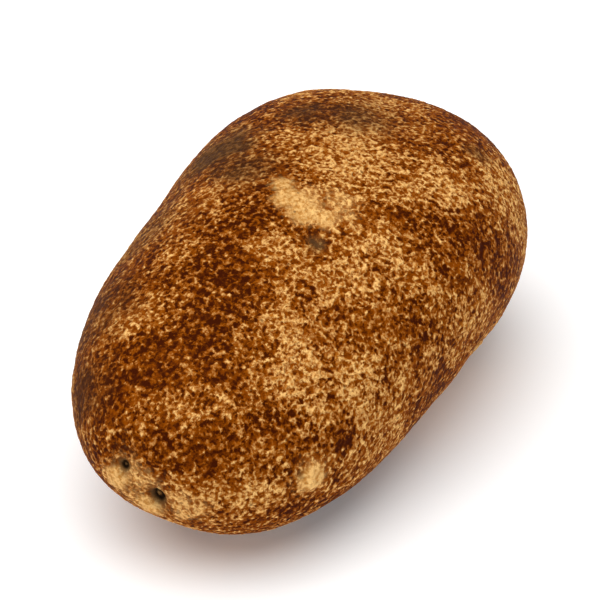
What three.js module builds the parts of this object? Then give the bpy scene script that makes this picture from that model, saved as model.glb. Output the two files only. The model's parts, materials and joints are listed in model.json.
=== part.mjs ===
import * as THREE from 'three';
import { mergeVertices } from 'three/addons/utils/BufferGeometryUtils.js';

// A whole russet potato, lying on its broad side with its long axis along X.
// Millimetres, +Z up. The rose end, where the eyes crowd together, points to -X and
// the stem end to +X. The origin is on the underside, below the middle of its box.

// Driving dimensions
const LENGTH = 125;
const WIDTH = 70;
const HEIGHT = 54;
const RESTING_DEPTH = 0.5;      // how much of the belly is flattened where it lies
const EDGE_DIVISIONS = 19;      // cuts along each edge of the starting icosahedron

// How the tuber departs from an ellipsoid
const END_BLUNTNESS = 2.55;     // power of the outline along the length; 2 is an ellipse
const GIRTH_BLUNTNESS = 2.15;   // the same, round the girth
const STEM_END_FLARE = 0.14;    // how much the tuber widens from its middle to the stem end
const DROOP = 1.5;              // how far both ends hang below the middle
const SIDE_BOW = 1.3;           // how far both ends swing to -Y
const ROLL = 5;                 // degrees about X and Y that bring its resting spot
const PITCH = -2.3;             // under its centre of mass

// Slow swells and hollows over the whole tuber: turns along each axis from the middle
// to the end, in radians, where the wave starts, and its height
const WAVES = [
  { turns: [3.0, 1.9, -1.2], start: 3.6, height: 1.0 },
  { turns: [-2.1, 3.3, 2.4], start: 3.6, height: 0.8 },
  { turns: [4.6, -1.4, 3.1], start: 4.5, height: 0.55 },
];

// Eyes and scars: degrees from the stem end, degrees round from the top towards +Y,
// and the radius and depth of the dent
const DENTS = {
  stemScar: { fromStem: 4, round: 0, radius: 4.5, depth: 1.1 },
  stemShoulderEye: { fromStem: 38, round: 44, radius: 4.4, depth: 0.8 },
  stemBellyEye: { fromStem: 44, round: -150, radius: 4.4, depth: 0.8 },
  leftShoulderEye: { fromStem: 66, round: 84, radius: 4.6, depth: 0.9 },
  rightFlankEye: { fromStem: 78, round: -104, radius: 4.6, depth: 1.0 },
  upperEye: { fromStem: 99, round: -12, radius: 5.5, depth: 0.9 },
  leftFlankEye: { fromStem: 114, round: 100, radius: 4.2, depth: 0.9 },
  bellyEye: { fromStem: 122, round: -148, radius: 4.0, depth: 0.8 },
  leftCheekEye: { fromStem: 142, round: 128, radius: 3.6, depth: 0.8 },
  highRoseEye: { fromStem: 166, round: 48, radius: 3.4, depth: 0.9 },
  lowRoseEye: { fromStem: 172, round: 178, radius: 3.4, depth: 1.0 },
};

const skin = new THREE.MeshStandardMaterial({
  name: 'russet_skin',
  color: 0x96622f,
  roughness: 0.8,
  metalness: 0,
});

// The unit direction at an angle from the stem end and an angle round from the top
function direction(fromStem, round) {
  const polar = THREE.MathUtils.degToRad(fromStem);
  const turn = THREE.MathUtils.degToRad(round);
  return new THREE.Vector3(
    Math.cos(polar),
    Math.sin(polar) * Math.sin(turn),
    Math.sin(polar) * Math.cos(turn),
  );
}

// The length of two perpendicular parts on a superellipse of the given power
function superlength(first, second, power) {
  return (Math.abs(first) ** power + Math.abs(second) ** power) ** (1 / power);
}

// The smooth tuber, before its dents: a flared, bowed superellipsoid with slow waves
function tuberPoint(toward) {
  const girth = superlength(toward.y, toward.z, GIRTH_BLUNTNESS);
  const unit = toward.clone().divideScalar(superlength(toward.x, girth, END_BLUNTNESS));
  const flare = 1 + STEM_END_FLARE * unit.x;
  const endness = unit.x ** 2;
  const point = new THREE.Vector3(
    (LENGTH / 2) * unit.x,
    (WIDTH / 2) * flare * unit.y - SIDE_BOW * endness,
    (HEIGHT / 2) * flare * unit.z - DROOP * endness,
  );
  for (const { turns, start, height } of WAVES) {
    const phase = unit.dot(new THREE.Vector3(...turns)) + start;
    point.addScaledVector(outward(point), height * Math.sin(phase));
  }
  return point;
}

// The outward direction at a point of the tuber, near enough that of its ellipsoid
function outward(point) {
  return new THREE.Vector3(
    point.x / LENGTH ** 2,
    point.y / WIDTH ** 2,
    point.z / HEIGHT ** 2,
  ).normalize();
}

const dents = Object.values(DENTS).map(({ fromStem, round, radius, depth }) => ({
  centre: tuberPoint(direction(fromStem, round)),
  radius,
  depth,
}));

function dentDepth(point) {
  let total = 0;
  for (const { centre, radius, depth } of dents) {
    total += depth * Math.exp(-((point.distanceTo(centre) / radius) ** 2));
  }
  return total;
}

// Moves the vertices of a unit sphere onto the tuber
function shapeTuber(geometry) {
  const vertices = geometry.attributes.position;
  const toward = new THREE.Vector3();
  for (let i = 0; i < vertices.count; i += 1) {
    toward.fromBufferAttribute(vertices, i).normalize();
    const point = tuberPoint(toward);
    point.addScaledVector(outward(point), -dentDepth(point));
    vertices.setXYZ(i, point.x, point.y, point.z);
  }
}

// Turns the tuber as it lies, sets the origin below the middle of its box, and
// flattens the belly where it rests
function layDown(geometry) {
  geometry.rotateX(THREE.MathUtils.degToRad(ROLL));
  geometry.rotateY(THREE.MathUtils.degToRad(PITCH));
  geometry.computeBoundingBox();
  const { min, max } = geometry.boundingBox;
  const floor = min.z + RESTING_DEPTH;
  geometry.translate(-(min.x + max.x) / 2, -(min.y + max.y) / 2, -floor);
  const vertices = geometry.attributes.position;
  for (let i = 0; i < vertices.count; i += 1) {
    vertices.setZ(i, Math.max(vertices.getZ(i), 0));
  }
}

function makePotato() {
  const sphere = new THREE.IcosahedronGeometry(1, EDGE_DIVISIONS);
  sphere.deleteAttribute('normal');
  sphere.deleteAttribute('uv');
  const geometry = mergeVertices(sphere);
  shapeTuber(geometry);
  layDown(geometry);
  geometry.computeVertexNormals();
  const potato = new THREE.Mesh(geometry, skin);
  potato.name = 'potato';
  return potato;
}

const russetPotato = new THREE.Group();
russetPotato.add(makePotato());

export default russetPotato;
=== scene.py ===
"""A whole russet potato lying on a pale studio floor, laid out as an add-on.

Metres, +Z up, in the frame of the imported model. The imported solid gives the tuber's form;
the skin grown over it here carries the net, the eyes, the scuffs and the colour.
"""

import json
import math
from collections import namedtuple
from functools import reduce

import bpy
from bpy.props import FloatProperty, FloatVectorProperty, PointerProperty
from bpy.types import Operator, Panel, PropertyGroup
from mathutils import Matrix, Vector

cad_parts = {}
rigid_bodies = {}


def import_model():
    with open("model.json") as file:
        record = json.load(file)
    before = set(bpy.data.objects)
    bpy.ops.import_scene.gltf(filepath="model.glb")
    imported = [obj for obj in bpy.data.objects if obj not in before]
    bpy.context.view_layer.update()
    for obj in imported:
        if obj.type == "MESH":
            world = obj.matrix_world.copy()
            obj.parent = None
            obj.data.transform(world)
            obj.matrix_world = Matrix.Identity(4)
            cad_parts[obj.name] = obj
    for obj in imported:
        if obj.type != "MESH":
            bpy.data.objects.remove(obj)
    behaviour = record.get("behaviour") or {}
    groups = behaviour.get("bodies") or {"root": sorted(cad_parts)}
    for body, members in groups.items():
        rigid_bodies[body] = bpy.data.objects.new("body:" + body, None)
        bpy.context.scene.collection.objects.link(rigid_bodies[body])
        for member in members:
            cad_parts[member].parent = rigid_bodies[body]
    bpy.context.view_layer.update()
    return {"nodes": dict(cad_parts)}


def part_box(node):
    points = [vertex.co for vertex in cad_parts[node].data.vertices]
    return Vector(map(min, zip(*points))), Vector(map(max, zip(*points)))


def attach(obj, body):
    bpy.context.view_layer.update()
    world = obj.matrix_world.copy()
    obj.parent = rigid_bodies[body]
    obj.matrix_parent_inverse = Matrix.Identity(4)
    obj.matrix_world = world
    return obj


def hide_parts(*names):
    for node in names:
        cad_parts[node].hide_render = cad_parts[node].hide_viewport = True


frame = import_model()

bl_info = {
    "name": "Russet Potato",
    "version": (1, 0, 0),
    "blender": (4, 5, 0),
    "location": "3D View > Sidebar > Potato",
    "description": "Grows the netted skin of a russet potato and sets up its studio",
    "category": "Object",
}

TUBER = "potato"
SKIN = "potato_skin"
MM = 0.001
LOW, HIGH = (Vector(corner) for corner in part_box(TUBER))
STEMWARD = Vector((1.0, 0.0, 0.0))
UP = Vector((0.0, 0.0, 1.0))

MERGE_DISTANCE = 1e-6
SMOOTHING_LEVELS = 2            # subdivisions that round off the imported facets
EVENING_STEPS = 3               # passes that even out what the facets leave
EVENING_FACTOR = 0.5

# Places are fractions of the tuber's box: from the rose end to the stem end, from the
# right side to the left, and up. Sizes are in millimetres.

# Eyes: half their pit's size along and across the tuber, its depth, how much the eye
# curls round its bud, the height of its brow and how dark its pit is, from 0 to 1, a
# painted shade in the pit and in the hollow round it.
# The last one is no eye but a low bump, so its depth is negative, and the one before it
# is the crease at its foot.
Eye = namedtuple("Eye", "place length width depth curl brow dark")
EYES = (
    Eye((0.99, 0.50, 0.54), 1.9, 2.3, 0.70, 0.00, 0.00, 0.6),
    Eye((0.91, 0.73, 0.77), 0.8, 2.6, 0.55, 0.18, 0.50, 0.6),
    Eye((0.88, 0.34, 0.15), 0.8, 2.6, 0.55, 0.18, 0.50, 0.6),
    Eye((0.70, 0.98, 0.60), 0.9, 3.0, 0.65, 0.14, 0.60, 0.7),
    Eye((0.60, 0.05, 0.32), 0.9, 2.8, 0.65, 0.17, 0.60, 0.7),
    # How dark this eye is also stands in for the shadow under the bare crescent's edge, a painted
    # shade.
    Eye((0.41, 0.37, 0.93), 1.5, 2.2, 0.50, 0.08, 0.00, 0.38),
    Eye((0.28, 0.93, 0.44), 0.8, 2.6, 0.60, 0.18, 0.55, 0.65),
    Eye((0.21, 0.31, 0.06), 0.8, 2.4, 0.55, 0.18, 0.50, 0.6),
    Eye((0.08, 0.73, 0.28), 0.8, 1.8, 0.60, 0.06, 0.35, 0.8),
    Eye((0.00, 0.58, 0.47), 1.2, 1.0, 0.60, 0.00, 0.00, 1.0),
    Eye((0.01, 0.49, 0.36), 1.9, 1.5, 0.75, 0.00, 0.00, 1.0),
    Eye((0.13, 0.19, 0.42), 0.7, 1.1, 0.45, 0.00, 0.00, 0.3),
    Eye((0.14, 0.16, 0.40), 2.6, 2.6, -0.60, 0.00, 0.00, 0.0),
)

# Where the wide hollow, the brow and the bud of an eye reach, along and across, and how
# far the brow and the bud lie towards the stem end, all beside half the size of its pit
HOLLOW_REACH = (2.8, 1.7)
BROW_REACH = (1.5, 1.15)
BUD_REACH = (0.5, 0.4)
BROW_OFFSET = 2.4
BUD_OFFSET = 0.2
EYE_REACH = 9.0                 # how far through the tuber an eye is felt

# Patches of the skin, each a place and a radius. The net is rubbed off on the bare
# ones and half off on the worn ones, and it is thicker or thinner on others. The grey
# ones are greyed by weather and the dust ones less so. One grey patch is instead a
# painted shadow under the bare crescent. Along the left flank, a grey patch, a thin one
# and the first four dust ones are partly painted shade and grey sheen of that flank.
BARE_PATCHES = (
    ((0.49, 0.55, 1.00), 2.4),
    ((0.46, 0.50, 0.99), 3.0),
    ((0.44, 0.44, 0.98), 2.8),
    ((0.45, 0.38, 0.96), 2.0),
    ((0.14, 0.16, 0.40), 2.0),
    ((0.01, 0.61, 0.41), 2.2),
    ((0.01, 0.52, 0.29), 2.6),
    ((0.60, 0.97, 0.60), 2.8),
    ((1.00, 0.50, 0.50), 3.0),
    ((0.78, 0.08, 0.32), 3.2),
    ((0.45, 0.75, 0.03), 3.4),
)
WORN_PATCHES = (
    ((0.47, 0.44, 0.98), 5.0),
    ((0.49, 0.38, 0.97), 5.0),
    ((0.01, 0.56, 0.42), 6.5),
    ((0.14, 0.16, 0.41), 4.2),
    ((0.02, 0.42, 0.34), 5.0),
    ((0.62, 0.96, 0.64), 6.5),
    ((0.98, 0.46, 0.60), 6.5),
    ((0.76, 0.12, 0.25), 6.0),
    ((0.40, 0.68, 0.02), 7.0),
)
THICK_PATCHES = (
    ((0.49, 0.37, 0.97), 6.0),
    ((0.61, 0.42, 0.98), 9.0),
    ((0.67, 0.23, 0.91), 7.5),
    ((0.46, 0.25, 0.90), 6.0),
    ((0.80, 0.14, 0.77), 8.0),
    ((0.36, 0.46, 0.94), 4.5),
    ((0.36, 0.25, 0.86), 6.0),
    ((0.20, 0.24, 0.71), 7.0),
    ((0.27, 0.15, 0.68), 7.0),
    ((0.29, 0.70, 0.91), 3.5),
    ((0.05, 0.47, 0.68), 3.5),
    ((0.01, 0.40, 0.40), 6.0),
    ((0.06, 0.24, 0.40), 4.0),
    ((0.14, 0.16, 0.41), 3.0),
    ((0.35, 0.96, 0.50), 11.0),
    ((0.60, 0.45, 0.02), 16.0),
)
THIN_PATCHES = (
    ((0.10, 0.56, 0.78), 5.5),
    ((0.18, 0.46, 0.83), 8.5),
    ((0.26, 0.54, 0.91), 6.0),
    ((0.73, 0.64, 0.97), 7.0),
    # This one also darkens the left flank, a painted shade.
    ((0.08, 0.76, 0.64), 7.0),
    ((0.03, 0.38, 0.57), 6.0),
    ((0.21, 0.11, 0.50), 3.0),
    ((0.80, 0.92, 0.60), 11.0),
    ((0.30, 0.18, 0.15), 11.0),
)
GREY_PATCHES = (
    ((0.72, 0.68, 0.96), 5.0),
    ((0.75, 0.53, 0.96), 8.0),
    ((0.51, 0.68, 0.98), 6.0),
    # This one, along the left flank, is partly painted shade and grey sheen.
    ((0.60, 0.82, 0.92), 7.0),
    ((0.80, 0.21, 0.84), 2.8),
    # This one is a painted shadow under the bare crescent's lower edge.
    ((0.40, 0.36, 0.93), 1.6),
)
DUST_AND_PAINTED_SHEEN_PATCHES = (
    # The first four run along the left flank: partly dust, partly painted shade and grey sheen.
    ((0.06, 0.80, 0.60), 8.0),
    ((0.20, 0.86, 0.70), 10.0),
    ((0.38, 0.88, 0.78), 10.0),
    ((0.56, 0.84, 0.88), 9.0),
    ((0.35, 0.96, 0.25), 11.0),
    ((0.82, 0.30, 0.10), 12.0),
)
PATCH_FALL = (1.8, 0.1)         # where a patch ends and is full, in its radii
WORN_STRENGTH = 0.5             # beside a bare patch
DUST_AND_PAINTED_SHEEN_STRENGTH = 0.8            # beside a grey patch

# Clouds of noise: their size in millimetres, how many octaves are added to the first
# one, and how strong each octave is beside the one before
Cloud = namedtuple("Cloud", "size octaves roughness")
SWAY = Cloud(2.4, 1.0, 0.5)     # bends the lines of the net
OUTLINE = Cloud(6.0, 2.0, 0.6)  # makes the outlines of the patches wander
CLUMPS = Cloud(4.5, 2.0, 0.6)   # gathers the net in clumps
SPREAD = Cloud(20.0, 2.0, 0.5)  # thins and thickens it over the tuber
BREAKS = Cloud(1.3, 2.0, 0.6)   # breaks its lines
FLAKES = Cloud(1.1, 3.0, 0.6)   # roughens and mottles the skin between
GRAIN = Cloud(0.45, 2.0, 0.6)   # the finest roughness
LUMPS = Cloud(12.0, 1.5, 0.4)   # the slow bumps of the tuber
HUES = Cloud(14.0, 3.0, 0.6)    # turns the valleys redder or darker
TONES = Cloud(0.8, 2.0, 0.6)    # makes the tops of the net paler or duller

# How far those clouds act: millimetres for the sway, radii for the outlines
SWAY_REACH = 1.2
OUTLINE_REACH = 1.6
RAGGEDNESS = 0.9                # of the outlines of the eyes

# The net: how far its lines fall off on both sides, in its clouds and cells, and the
# pitch of its wisps beside that of its strokes
LINE_FALL = (0.20, 0.0)
WALL_FALL = (0.40, 0.0)
WISP_PITCH = 0.62
ASIDE = (31.0, 17.0, 53.0)      # a step to where the clouds are other ones
PORE_PITCH = 3.1
PORE_FALL = (0.14, 0.06)        # from a pore's edge to its middle, in pitches

RELIEF_START = (0.1 * MM, 1.5 * MM)  # heights above the floor where the relief sets in
BUMP_DEPTH = 0.5 * MM
SPECULAR_LEVEL = 0.02
END_ON = 0.5                    # below this, the skin faces the stem end too squarely

FLOOR_SIDES = 96
FLOOR_GAP = 0.05 * MM           # keeps the floor just clear of the belly
FLOOR_ROUGHNESS = 0.9
HORIZON_TOP = 0.25              # where the sky's bright horizon ends, as its height


def tone(code):
    """The linear colour of a hexadecimal shade."""
    shades = (int(code[i:i + 2], 16) / 255 for i in (0, 2, 4))
    return tuple(s / 12.92 if s <= 0.04045 else ((s + 0.055) / 1.055) ** 2.4 for s in shades)


def spot(place):
    """The point of the tuber nearest to a place in its box, and the outward normal there."""
    near = Vector(low + (high - low) * part for low, high, part in zip(LOW, HIGH, place))
    found, point, normal, _ = frame["nodes"][TUBER].closest_point_on_mesh(near)
    if not found:
        raise RuntimeError(f"no skin near {place}")
    return point / MM, normal


# Properties ---------------------------------------------------------------------------


def colour_property(name, description, code):
    return FloatVectorProperty(
        name=name, description=description, subtype="COLOR", size=3,
        min=0.0, max=1.0, default=tone(code),
    )


def length_property(name, description, default):
    return FloatProperty(
        name=name, description=description, subtype="DISTANCE", unit="LENGTH",
        min=0.0, precision=5, default=default,
    )


class SkinProperties(PropertyGroup):
    net_pitch: length_property(
        "Net pitch", "Distance between the lines of the net", 1.6 * MM)
    net_height: length_property(
        "Net height", "How far the net stands above the skin between", 0.18 * MM)
    flake_height: length_property(
        "Flake height", "Roughness of the skin between the lumps and the net", 0.10 * MM)
    lump_height: length_property(
        "Lump height", "Height of the slow bumps of the skin", 0.9 * MM)
    patch_height: length_property(
        "Patch height", "How far the bare patches bulge", 0.35 * MM)
    valley: colour_property("Valley", "Skin between the lines of the net", "3e1200")
    rust: colour_property("Rust", "Redder skin between the lines", "8a4000")
    ridge: colour_property("Ridge", "Sides of the lines of the net", "8e4600")
    crust: colour_property("Crust", "Duller tops of the lines of the net", "b2681c")
    tip: colour_property("Tip", "Palest tops of the lines", "ffca7c")
    bare: colour_property("Bare skin", "Smooth skin where the net is rubbed off", "cc8c40")
    pale: colour_property("Pale skin", "Palest of the smooth skin", "fcc87c")
    # Ash and dust also paint the shadow under the bare crescent and the shade and grey sheen of
    # the left flank.
    ash: colour_property("Ash", "Greyish skin between the lines", "361c0a")
    dust: colour_property("Dust", "Greyish lines of the net", "80542a")
    # Rim and pit are painted shade: rim over the hollow round each eye, pit in its bottom.
    rim: colour_property("Eye rim", "Greyish skin round the bottom of the eyes", "5c4226")
    pit: colour_property("Pit", "Bottom of the eyes", "1c0f05")


class StudioProperties(PropertyGroup):
    floor: colour_property("Floor", "Colour of the studio floor", "fafafa")
    floor_radius: length_property("Floor radius", "Radius of the studio floor", 40.0)
    floor_glow: FloatProperty(
        name="Floor glow", description="Light from the floor itself, as of a light table",
        default=0.15)
    azimuth: FloatProperty(
        name="Azimuth", description="Camera's turn round the potato",
        subtype="ANGLE", unit="ROTATION", default=math.radians(-63.3))
    elevation: FloatProperty(
        name="Elevation", description="Camera's height above the floor, as an angle",
        subtype="ANGLE", unit="ROTATION", default=math.radians(34.2))
    distance: length_property("Distance", "From the camera to the potato's middle", 1.0)
    lens: FloatProperty(
        name="Lens", description="Focal length of the camera",
        subtype="DISTANCE_CAMERA", unit="CAMERA", default=300.0)
    key_strength: FloatProperty(
        name="Key strength", description="Strength of the overhead light", default=3.3)
    key_azimuth: FloatProperty(
        name="Key azimuth", description="Overhead light's turn round the potato",
        subtype="ANGLE", unit="ROTATION", default=math.radians(-120.0))
    key_elevation: FloatProperty(
        name="Key elevation", description="Overhead light's height, as an angle",
        subtype="ANGLE", unit="ROTATION", default=math.radians(80.0))
    key_spread: FloatProperty(
        name="Key spread", description="Overhead light's width in the sky, which softens shadows",
        subtype="ANGLE", unit="ROTATION", default=math.radians(75.0))
    sky: FloatProperty(
        name="Sky", description="Strength of the light from overhead and round", default=0.14)


# Node trees ---------------------------------------------------------------------------


class Value:
    """The output of a node. Arithmetic on it adds Math nodes to its graph."""

    def __init__(self, graph, socket):
        self.graph = graph
        self.socket = socket

    def _math(self, operation, first, second):
        return self.graph.node(
            "ShaderNodeMath", {"operation": operation}, {0: first, 1: second})

    def __add__(self, other):
        return self._math("ADD", self, other)

    __radd__ = __add__

    def __sub__(self, other):
        return self._math("SUBTRACT", self, other)

    def __rsub__(self, other):
        return self._math("SUBTRACT", other, self)

    def __mul__(self, other):
        return self._math("MULTIPLY", self, other)

    __rmul__ = __mul__

    def __truediv__(self, other):
        return self._math("DIVIDE", self, other)

    def __abs__(self):
        return self._math("ABSOLUTE", self, 0.0)

    def least(self, other):
        return self._math("MINIMUM", self, other)


class Graph:
    """A node tree of a material or a modifier, grown by one method."""

    def __init__(self, tree):
        self.tree = tree

    def node(self, kind, settings=None, inputs=None, output=0):
        """Adds a node with its settings, fills its sockets and returns one output, if any."""
        node = self.tree.nodes.new(kind)
        for name, setting in (settings or {}).items():
            setattr(node, name, setting)
        for key, given in (inputs or {}).items():
            if isinstance(given, Value):
                self.tree.links.new(given.socket, node.inputs[key])
            else:
                node.inputs[key].default_value = given
        return None if output is None else Value(self, node.outputs[output])

    def vector(self, operation, first, second, output=0):
        return self.node(
            "ShaderNodeVectorMath", {"operation": operation},
            {0: first, 1: second}, output)

    def scaled(self, vector, factor):
        return self.node(
            "ShaderNodeVectorMath", {"operation": "SCALE"},
            {"Vector": vector, "Scale": factor})

    def noise(self, place, cloud, output="Fac"):
        """A cloud's value from 0 to 1 at a place, about 0.5 on average."""
        return self.node(
            "ShaderNodeTexNoise", None,
            {"Vector": place, "Scale": 1.0 / cloud.size, "Detail": cloud.octaves,
             "Roughness": cloud.roughness},
            output)

    def lines(self, place, size):
        """How far a plain cloud is from its middle: 0 along winding lines."""
        return abs(self.noise(place, Cloud(size, 0.0, 0.0)) - 0.5)

    def cells(self, place, size, feature):
        """Distance to the nearest wall or middle of a cell, for cells of 1."""
        return self.node(
            "ShaderNodeTexVoronoi", {"feature": feature},
            {"Vector": place, "Scale": 1.0 / size})

    def smooth(self, value, start, stop):
        """0 up to start, 1 from stop on, and an S between; start may be the larger."""
        rising = start < stop
        return self.node(
            "ShaderNodeMapRange", {"interpolation_type": "SMOOTHSTEP"},
            {"Value": value, "From Min": min(start, stop), "From Max": max(start, stop),
             "To Min": 0.0 if rising else 1.0, "To Max": 1.0 if rising else 0.0})

    def colour_mix(self, first, second, factor):
        return self.node(
            "ShaderNodeMix", {"data_type": "RGBA"},
            {0: factor, 6: first, 7: second}, output=2)

    def attribute(self, name, output="Fac"):
        return self.node("ShaderNodeAttribute", {"attribute_name": name}, output=output)


def opaque(colour):
    return (*colour, 1.0)


def square(value):
    return value * value


# The skin's masks and pattern -----------------------------------------------------------

# Masks are worked out once, at the vertices, and kept there as attributes
MASKS = ("thickness", "bare", "grey", "pit", "brow", "dark")
GROWN_FROM = "grown_from"
Pattern = namedtuple("Pattern", "net flakes grain cover pores bare")


def local_place(graph, place, centre, normal):
    """Millimetres from a point of the skin: towards the stem end, across, and outwards."""
    towards_stem = STEMWARD - STEMWARD.project(normal)
    if towards_stem.length < END_ON:
        towards_stem = UP - UP.project(normal)
    towards_stem.normalize()
    offset = graph.vector("SUBTRACT", place, centre)
    axes = (towards_stem, normal.cross(towards_stem), normal)
    return [graph.vector("DOT_PRODUCT", offset, axis, output="Value") for axis in axes]


def eye_masks(graph, place, eye, ragged):
    """How deep in an eye's pit, how high on its brow and how much painted shade darkens a place.
    """
    along, across, out = local_place(graph, place, *spot(eye.place))
    bent = along + eye.curl * square(across)
    beyond = square(out / EYE_REACH)
    pit = graph.smooth(
        square(bent / eye.length) + square(across / eye.width) + beyond + ragged,
        1.7, 0.0)
    hollow = graph.smooth(
        square(bent / (HOLLOW_REACH[0] * eye.length))
        + square(across / (HOLLOW_REACH[1] * eye.width)) + beyond,
        1.5, 0.0)
    # The darker an eye, the more its bud stands out
    bud = graph.smooth(
        square((bent - BUD_OFFSET * eye.length) / (BUD_REACH[0] * eye.length))
        + square(across / (BUD_REACH[1] * eye.width)) + beyond + ragged,
        1.0, 0.0) * eye.dark
    brow = graph.smooth(
        square((bent - BROW_OFFSET * eye.length) / (BROW_REACH[0] * eye.length))
        + square(across / (BROW_REACH[1] * eye.width)) + beyond + ragged,
        1.6, 0.0)
    depth = (pit + hollow * 0.4 - bud * 0.6) * eye.depth
    # Painted shade: darkest in the pit, fainter over the hollow, lifted off the bud.
    painted_eye_shade = (pit * 0.75 + hollow * 0.25 - bud * 0.45) * eye.dark
    return depth, brow * eye.brow, painted_eye_shade


def patch_mask(graph, place, patches, wander):
    """1 inside any of the patches, falling to 0 round them."""
    reaches = (
        graph.vector("DISTANCE", place, spot(middle)[0], output="Value") / radius
        for middle, radius in patches)
    return graph.smooth(reduce(Value.least, reaches) + wander, *PATCH_FALL)


def skin_masks(graph, place):
    """The slow masks of the skin, by name; place is in millimetres."""
    wander = (graph.noise(place, OUTLINE) - 0.5) * OUTLINE_REACH
    ragged = (graph.noise(place, FLAKES) - 0.5) * RAGGEDNESS
    thick = patch_mask(graph, place, THICK_PATCHES, wander)
    thin = patch_mask(graph, place, THIN_PATCHES, wander)
    bare = patch_mask(graph, place, BARE_PATCHES, wander * 0.7)
    worn = patch_mask(graph, place, WORN_PATCHES, wander)
    grey = patch_mask(graph, place, GREY_PATCHES, wander)
    dust_and_painted_sheen = patch_mask(graph, place, DUST_AND_PAINTED_SHEEN_PATCHES, wander)
    pits, brows, all_painted_eye_shades = zip(*(eye_masks(graph, place, eye, ragged) for eye in EYES))
    return dict(zip(MASKS, (
        thick - thin, bare + worn * WORN_STRENGTH, grey + dust_and_painted_sheen * DUST_AND_PAINTED_SHEEN_STRENGTH,
        sum(pits), sum(brows), sum(all_painted_eye_shades),
    )))


def skin_pattern(graph, place, pitch, masks):
    """The skin's fine pattern, as values from 0 to 1; place and pitch are in millimetres."""
    sway = graph.vector("SUBTRACT", graph.noise(place, SWAY, "Color"), (0.5, 0.5, 0.5))
    swayed = graph.vector("ADD", place, graph.scaled(sway, SWAY_REACH))
    aside = graph.vector("ADD", swayed, ASIDE)
    cover = graph.smooth(
        graph.noise(place, CLUMPS) * 0.35 + graph.noise(place, SPREAD) * 0.55
        + masks["thickness"] * 0.15,
        0.25, 0.75)
    whole = graph.smooth(graph.noise(place, BREAKS) + cover * 0.2, 0.42, 0.66)
    strokes = graph.smooth(graph.lines(swayed, pitch), *LINE_FALL)
    wisps = graph.smooth(graph.lines(aside, pitch * WISP_PITCH), *LINE_FALL)
    walls = graph.smooth(graph.cells(swayed, pitch, "DISTANCE_TO_EDGE"), *WALL_FALL)
    lines = strokes * 0.45 + wisps * 0.35 + walls * (0.35 + 0.35 * cover)
    flakes = graph.noise(place, FLAKES)
    holed = 0.25 + 0.75 * graph.smooth(flakes, 0.70, 0.45)
    net = lines * (0.37 + 0.82 * whole) * (0.63 + 0.46 * cover) * holed
    return Pattern(
        net=net,
        flakes=flakes,
        grain=graph.noise(place, GRAIN),
        cover=cover,
        pores=graph.smooth(graph.cells(swayed, PORE_PITCH, "F1"), *PORE_FALL),
        bare=graph.smooth(masks["bare"] + (flakes - 0.5) * 0.9 + net * 0.15, 0.2, 1.1),
    )


# Skin ---------------------------------------------------------------------------------


def deselect_all():
    bpy.ops.object.select_all(action="DESELECT")


def apply_modifier(piece, kind, **settings):
    """Adds a modifier to the piece, sets it up and applies it."""
    modifier = piece.modifiers.new(kind.title(), kind)
    for name, setting in settings.items():
        setattr(modifier, name, setting)
    bpy.ops.object.modifier_apply(modifier=modifier.name)


def copy_tuber():
    """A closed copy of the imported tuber, free of the frame, as the active object."""
    deselect_all()
    tuber = frame["nodes"][TUBER]
    tuber.select_set(True)
    bpy.context.view_layer.objects.active = tuber
    bpy.ops.object.duplicate()
    piece = bpy.context.view_layer.objects.active
    bpy.ops.object.parent_clear(type="CLEAR_KEEP_TRANSFORM")
    for tag in [tag for tag in piece.keys() if tag.startswith("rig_")]:
        del piece[tag]
    piece.name = SKIN
    piece.data.name = SKIN
    piece.data.materials.clear()
    bpy.ops.object.mode_set(mode="EDIT")
    bpy.ops.mesh.select_all(action="SELECT")
    bpy.ops.mesh.remove_doubles(threshold=MERGE_DISTANCE)
    bpy.ops.mesh.customdata_custom_splitnormals_clear()
    bpy.ops.object.mode_set(mode="OBJECT")
    return piece


def relief_tree(look):
    """A geometry node tree that keeps the masks on the vertices and raises the skin."""
    tree = bpy.data.node_groups.new("skin relief", "GeometryNodeTree")
    for direction in ("INPUT", "OUTPUT"):
        tree.interface.new_socket(
            "Geometry", in_out=direction, socket_type="NodeSocketGeometry")
    graph = Graph(tree)
    position = graph.node("GeometryNodeInputPosition")
    normal = graph.node("GeometryNodeInputNormal")
    place = graph.scaled(position, 1.0 / MM)
    masks = skin_masks(graph, place)
    kept = graph.node("NodeGroupInput")
    for name, field, kind in (
        (GROWN_FROM, place, "FLOAT_VECTOR"),
        *((name, mask, "FLOAT") for name, mask in masks.items()),
    ):
        kept = graph.node(
            "GeometryNodeStoreNamedAttribute", {"data_type": kind, "domain": "POINT"},
            {"Geometry": kept, "Name": name, "Value": field})

    pattern = skin_pattern(graph, place, look.net_pitch / MM, masks)
    netted = 1.0 - pattern.bare * 0.8
    height = (
        pattern.net * netted * look.net_height
        + (pattern.flakes - 0.5) * netted * look.flake_height
        + (graph.noise(place, LUMPS) - 0.5) * look.lump_height
        + masks["bare"] * look.patch_height
        + (masks["brow"] - masks["pit"]) * MM)
    above_floor = graph.node("ShaderNodeSeparateXYZ", None, {0: position}, output="Z")
    height = height * graph.smooth(above_floor, *RELIEF_START)
    raised = graph.vector("ADD", position, graph.scaled(normal, height))
    resting = graph.vector("MAXIMUM", raised, (-1.0, -1.0, 0.0))
    after = graph.node(
        "GeometryNodeSetPosition", None, {"Geometry": kept, "Position": resting})
    graph.node("NodeGroupOutput", None, {0: after}, output=None)
    return tree


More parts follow.
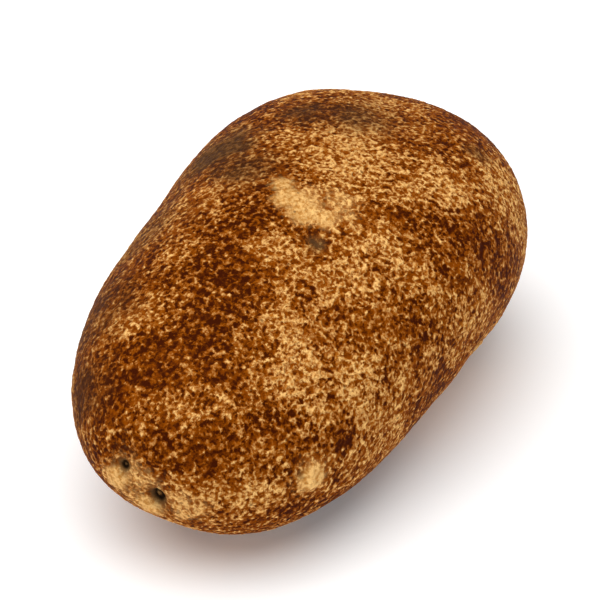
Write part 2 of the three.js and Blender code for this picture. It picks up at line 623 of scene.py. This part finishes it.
def skin_material(look):
    """Russet skin: a pale raised net over brown valleys, rubbed bare in places."""
    material = bpy.data.materials.new("russet skin")
    material.use_nodes = True
    material.node_tree.nodes.clear()
    graph = Graph(material.node_tree)
    place = graph.attribute(GROWN_FROM, "Vector")
    masks = {name: graph.attribute(name) for name in MASKS}
    pattern = skin_pattern(graph, place, look.net_pitch / MM, masks)
    net, flakes = pattern.net, pattern.flakes

    hue = graph.smooth(
        graph.noise(place, HUES) * 0.6 + pattern.cover * 0.4 + (0.5 - flakes) * 0.9, 0.3, 0.7)
    valley = graph.colour_mix(opaque(look.valley), opaque(look.rust), hue)
    sides = graph.colour_mix(valley, opaque(look.ridge), graph.smooth(net, 0.10, 0.50))
    tones = graph.smooth(graph.noise(place, TONES), 0.3, 0.7)
    tops = graph.colour_mix(opaque(look.crust), opaque(look.tip), tones)
    netted = graph.colour_mix(sides, tops, graph.smooth(net, 0.35, 1.1))
    # Grey skin: greyed by weather, and in places a painted shadow, painted shade and grey sheen.
    grey_skin_and_painted_shade = graph.colour_mix(opaque(look.ash), opaque(look.dust), net)
    greyed = graph.colour_mix(netted, grey_skin_and_painted_shade, masks["grey"] * 0.75)
    mottled = graph.smooth(tones * 0.35 + flakes * 0.3 + net * 0.3, 0.2, 0.65)
    smooth_skin = graph.colour_mix(opaque(look.bare), opaque(look.pale), mottled)
    rubbed = graph.colour_mix(greyed, smooth_skin, pattern.bare * 0.78)
    browed = graph.colour_mix(rubbed, smooth_skin, masks["brow"] * 0.9)
    pored = graph.colour_mix(browed, opaque(look.valley), pattern.pores * 0.6)
    # Painted shade in the eyes: greyish brown over each hollow and near-black in each pit.
    shaded = graph.colour_mix(
        pored, opaque(look.rim), graph.smooth(masks["dark"], 0.02, 0.45) * 0.75)
    pitted = graph.colour_mix(shaded, opaque(look.pit), graph.smooth(masks["dark"], 0.4, 0.95))

    roughness = 0.62 + net * 0.14 - pattern.bare * 0.1 + (pattern.grain - 0.5) * 0.2
    height = net * 0.5 + flakes * 0.5 + pattern.grain * 0.35
    normal = graph.node(
        "ShaderNodeBump", None, {"Strength": 1.0, "Distance": BUMP_DEPTH, "Height": height})
    surface = graph.node(
        "ShaderNodeBsdfPrincipled", None,
        {"Base Color": pitted, "Roughness": roughness,
         "Specular IOR Level": SPECULAR_LEVEL, "Normal": normal})
    graph.node("ShaderNodeOutputMaterial", None, {"Surface": surface}, output=None)
    return material


class POTATO_OT_grow_skin(Operator):
    """Grow the netted skin, with its eyes and patches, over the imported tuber"""

    bl_idname = "potato.grow_skin"
    bl_label = "Grow Skin"

    def execute(self, context):
        look = context.scene.potato_skin
        piece = copy_tuber()
        apply_modifier(
            piece, "SUBSURF", levels=SMOOTHING_LEVELS, render_levels=SMOOTHING_LEVELS)
        apply_modifier(piece, "SMOOTH", factor=EVENING_FACTOR, iterations=EVENING_STEPS)
        apply_modifier(piece, "NODES", node_group=relief_tree(look))
        bpy.ops.object.shade_smooth()
        piece.data.materials.append(skin_material(look))
        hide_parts(TUBER)
        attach(piece, "root")
        return {"FINISHED"}


# Studio -------------------------------------------------------------------------------


def seen_from(azimuth, elevation):
    """The unit vector towards a viewer; azimuth 0 looks along +Y, with +X to the right."""
    level = math.cos(elevation)
    return Vector((
        math.sin(azimuth) * level, -math.cos(azimuth) * level, math.sin(elevation)))


def aim(thing, target):
    """Points a light or a camera at a target."""
    thing.rotation_euler = (target - thing.location).to_track_quat("-Z", "Y").to_euler()


def add_light(name, azimuth, elevation, spread, strength, target):
    """A far soft light that shines on the target; its spread is its angle in the sky."""
    place = target + seen_from(azimuth, elevation)
    bpy.ops.object.light_add(type="SUN", location=place)
    light = bpy.context.view_layer.objects.active
    light.name = name
    light.data.angle = spread
    light.data.energy = strength
    aim(light, target)


def studio_sky(strength):
    """A white sky, bright at the horizon and dimmer overhead."""
    world = bpy.data.worlds.new("studio sky")
    world.use_nodes = True
    world.node_tree.nodes.clear()
    graph = Graph(world.node_tree)
    direction = graph.node("ShaderNodeTexCoord", output="Generated")
    height = graph.node("ShaderNodeSeparateXYZ", None, {0: direction}, output="Z")
    horizon = graph.smooth(height, HORIZON_TOP, 0.0)
    light = graph.node(
        "ShaderNodeBackground", None,
        {"Color": opaque((1.0, 1.0, 1.0)), "Strength": strength + horizon * (1.0 - strength)})
    graph.node("ShaderNodeOutputWorld", None, {"Surface": light}, output=None)
    return world


def floor_material(colour, glow):
    material = bpy.data.materials.new("studio floor")
    material.use_nodes = True
    surface = material.node_tree.nodes["Principled BSDF"]
    surface.inputs["Base Color"].default_value = opaque(colour)
    surface.inputs["Emission Color"].default_value = opaque(colour)
    surface.inputs["Emission Strength"].default_value = glow
    surface.inputs["Roughness"].default_value = FLOOR_ROUGHNESS
    return material


class POTATO_OT_set_studio(Operator):
    """Lay the pale floor, hang the soft light and place the camera"""

    bl_idname = "potato.set_studio"
    bl_label = "Set Studio"

    def execute(self, context):
        look = context.scene.potato_studio
        middle = (LOW + HIGH) / 2
        deselect_all()
        bpy.ops.mesh.primitive_circle_add(
            vertices=FLOOR_SIDES, radius=look.floor_radius, fill_type="NGON",
            location=(0.0, 0.0, -FLOOR_GAP))
        floor = bpy.context.view_layer.objects.active
        floor.name = "studio_floor"
        floor.data.materials.append(floor_material(look.floor, look.floor_glow))

        add_light(
            "overhead_light", look.key_azimuth, look.key_elevation, look.key_spread,
            look.key_strength, middle)
        context.scene.world = studio_sky(look.sky)
        context.scene.view_settings.view_transform = "Standard"

        place = middle + look.distance * seen_from(look.azimuth, look.elevation)
        bpy.ops.object.camera_add(location=place)
        camera = bpy.context.view_layer.objects.active
        camera.data.lens = look.lens
        aim(camera, middle)
        context.scene.camera = camera
        return {"FINISHED"}


# Panel --------------------------------------------------------------------------------


class POTATO_PT_panel(Panel):
    """The russet potato's steps and settings"""

    bl_idname = "POTATO_PT_panel"
    bl_label = "Russet Potato"
    bl_space_type = "VIEW_3D"
    bl_region_type = "UI"
    bl_category = "Potato"

    def draw(self, context):
        scene = context.scene
        for look, operator in (
            (scene.potato_skin, POTATO_OT_grow_skin),
            (scene.potato_studio, POTATO_OT_set_studio),
        ):
            box = self.layout.box()
            for name in look.__annotations__:
                box.prop(look, name)
            box.operator(operator.bl_idname)


CLASSES = (
    SkinProperties,
    StudioProperties,
    POTATO_OT_grow_skin,
    POTATO_OT_set_studio,
    POTATO_PT_panel,
)


def register():
    for cls in CLASSES:
        bpy.utils.register_class(cls)
    bpy.types.Scene.potato_skin = PointerProperty(type=SkinProperties)
    bpy.types.Scene.potato_studio = PointerProperty(type=StudioProperties)


def unregister():
    del bpy.types.Scene.potato_studio
    del bpy.types.Scene.potato_skin
    for cls in reversed(CLASSES):
        bpy.utils.unregister_class(cls)


def main():
    register()
    bpy.ops.potato.grow_skin()
    bpy.ops.potato.set_studio()


if __name__ == "__main__":
    main()
